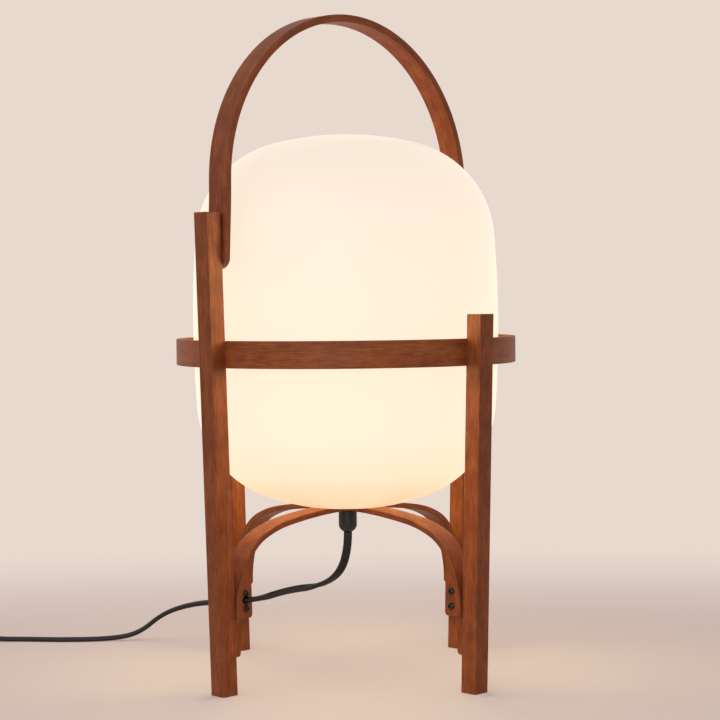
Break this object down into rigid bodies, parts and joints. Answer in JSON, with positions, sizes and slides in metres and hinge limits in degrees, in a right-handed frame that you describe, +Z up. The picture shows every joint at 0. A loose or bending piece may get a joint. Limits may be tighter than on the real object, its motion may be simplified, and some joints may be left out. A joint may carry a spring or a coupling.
{
  "type": "lantern table lamp",
  "caption": "Lantern table lamp: opal globe on crossed bent-wood arches inside leaning legs, with a waist hoop, a tall carrying handle and a flat cord with switch and plug.",
  "frame": {"origin": "the lamp's axis at floor level, between the four feet", "axes": "+Z up; -Y is the front, from which a tall leg stands at the left and a short leg at the right; the cord leaves at the back left"},
  "size_m": [0.6822, 0.3225, 0.5805],
  "materials": {
    "wood": "oiled reddish-brown hardwood, fine straight grain along each bar and strip",
    "black_screw": "black coated steel screws",
    "opal": "satin opal shade that glows warm white when lit",
    "plated_steel": "zinc or nickel plated steel",
    "holder_plastic": "white moulded lampholder",
    "ceramic": "glazed white ceramic",
    "brass": "plain brass",
    "cap_metal": "pressed aluminium screw cap",
    "bulb_glass": "frosted bulb",
    "black_plastic": "satin black moulded plastic",
    "grip_steel": "blackened set screw",
    "cord_black": "black flexible flat twin lead"
  },
  "bodies": {
    "frame": {"leg_front_left": "wood", "leg_front_right": "wood", "leg_back_left": "wood", "leg_back_right": "wood", "hoop": "wood", "carry_handle": "wood", "arch_over": "wood", "arch_under": "wood", "arch_screws": "black_screw", "handle_screws": "black_screw", "hoop_screws": "black_screw", "seat_plate": "plated_steel", "threaded_nipple": "plated_steel", "lock_nut": "plated_steel", "plug_pins": "plated_steel", "lampholder_shell": "holder_plastic", "contact_block": "ceramic", "centre_contact": "brass", "threaded_insert": "brass", "cord_gland": "black_plastic", "switch_base": "black_plastic", "switch_cover": "black_plastic", "plug_body": "black_plastic", "grip_screw": "grip_steel", "lead_in_nipple": "cord_black", "cord_run": "cord_black", "cord_link": "cord_black", "cord_coil": "cord_black", "cord_tail": "cord_black"},
    "shade": {"globe_shade": "opal"},
    "bulb": {"bulb_cap": "cap_metal", "bulb_glass": "bulb_glass"},
    "rocker": {"switch_rocker": "black_plastic"}
  },
  "joints": [
    {"name": "shade_lift", "type": "slide", "parent": "frame", "child": "shade", "axis": [0, 0, 1], "range_m": [0, 0.075]},
    {"name": "bulb_turn", "type": "hinge", "parent": "frame", "child": "bulb", "pos_m": [0, 0, 0.24], "axis": [0, 0, 1], "range_deg": [0, 1080]},
    {"name": "rocker_tip", "type": "hinge", "parent": "frame", "child": "rocker", "pos_m": [-0.401, 0.1605, 0.0112], "axis": [0, 1, 0], "range_deg": [-14, 0]}
  ]
}
